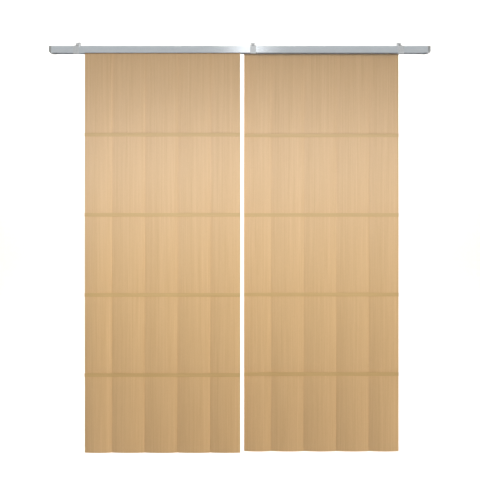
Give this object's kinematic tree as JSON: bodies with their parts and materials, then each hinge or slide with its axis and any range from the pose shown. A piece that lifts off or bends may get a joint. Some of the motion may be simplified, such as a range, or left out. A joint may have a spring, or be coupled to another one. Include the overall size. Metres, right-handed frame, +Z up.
{
  "type": "pair of sliding shoji-style fabric panels",
  "caption": "Sliding fabric panels with shoji-like bands, hung side by side on rollers in an aluminium track headrail with clip-on wall brackets.",
  "frame": {"origin": "centre of the middle bracket's two wall screw holes, on the wall's face; the wall is the plane Y = 0", "axes": "+X along the headrail to the viewer's right, +Y into the wall, +Z up; the panels face -Y"},
  "size_m": [2, 0.0515, 2.167],
  "materials": {
    "rail_aluminium": "satin anodised, fine lines drawn along the rail",
    "cap_plastic": "fine moulded grain, silver grey",
    "bracket_steel": "zinc plated, satin",
    "knob_black": "black, moulded on a blackened steel screw",
    "cloth_straw": "woven straw-coloured cloth with an upright grain, pressed into lapped pleats",
    "batten_tan": "flat olive-tan battens, satin",
    "tape_white": "woven hook and loop tape",
    "bar_aluminium": "mill finish, fine lines along the bar",
    "nylon": "natural white nylon",
    "bar_steel": "bright drawn steel"
  },
  "bodies": {
    "headrail": {"rail": "rail_aluminium", "end_cap_left": "cap_plastic", "end_cap_right": "cap_plastic", "bracket_left": "bracket_steel", "bracket_mid": "bracket_steel", "bracket_right": "bracket_steel", "clip_left": "bracket_steel", "clip_mid": "bracket_steel", "clip_right": "bracket_steel", "clamp_screws": "knob_black"},
    "left_panel": {"left_carrier_bar": "bar_aluminium", "left_hook_tape": "tape_white", "left_loop_tape": "tape_white", "left_cloth": "cloth_straw", "left_weight_bar": "bar_steel", "left_batten_1": "batten_tan", "left_batten_2": "batten_tan", "left_batten_3": "batten_tan", "left_batten_4": "batten_tan", "left_hanger_a": "nylon", "left_hanger_b": "nylon", "left_rivets": "bar_steel"},
    "left_wheels_a": {"left_axle_a": "bar_steel", "left_roller_a_front": "nylon", "left_roller_a_back": "nylon"},
    "left_wheels_b": {"left_axle_b": "bar_steel", "left_roller_b_front": "nylon", "left_roller_b_back": "nylon"},
    "right_panel": {"right_carrier_bar": "bar_aluminium", "right_hook_tape": "tape_white", "right_loop_tape": "tape_white", "right_cloth": "cloth_straw", "right_weight_bar": "bar_steel", "right_batten_1": "batten_tan", "right_batten_2": "batten_tan", "right_batten_3": "batten_tan", "right_batten_4": "batten_tan", "right_hanger_a": "nylon", "right_hanger_b": "nylon", "right_rivets": "bar_steel"},
    "right_wheels_a": {"right_axle_a": "bar_steel", "right_roller_a_front": "nylon", "right_roller_a_back": "nylon"},
    "right_wheels_b": {"right_axle_b": "bar_steel", "right_roller_b_front": "nylon", "right_roller_b_back": "nylon"}
  },
  "joints": [
    {"name": "left_slide", "type": "slide", "parent": "headrail", "child": "left_panel", "axis": [1, 0, 0], "range_m": [-0.172, 0.982]},
    {"name": "left_roll_a", "type": "hinge", "parent": "left_panel", "child": "left_wheels_a", "pos_m": [-0.823, -0.0381, -0.0398], "axis": [0, 1, 0], "continuous": true},
    {"name": "left_roll_b", "type": "hinge", "parent": "left_panel", "child": "left_wheels_b", "pos_m": [-0.127, -0.0381, -0.0398], "axis": [0, 1, 0], "continuous": true},
    {"name": "right_slide", "type": "slide", "parent": "headrail", "child": "right_panel", "axis": [1, 0, 0], "range_m": [-1.008, 0.146]},
    {"name": "right_roll_a", "type": "hinge", "parent": "right_panel", "child": "right_wheels_a", "pos_m": [0.013, -0.0159, -0.0398], "axis": [0, 1, 0], "continuous": true},
    {"name": "right_roll_b", "type": "hinge", "parent": "right_panel", "child": "right_wheels_b", "pos_m": [0.709, -0.0159, -0.0398], "axis": [0, 1, 0], "continuous": true}
  ],
  "couplings": [
    {"joint": "left_roll_a", "follows": "left_slide", "rad_per_m": 142.86},
    {"joint": "left_roll_b", "follows": "left_slide", "rad_per_m": 142.86},
    {"joint": "right_roll_a", "follows": "right_slide", "rad_per_m": 142.86},
    {"joint": "right_roll_b", "follows": "right_slide", "rad_per_m": 142.86}
  ]
}
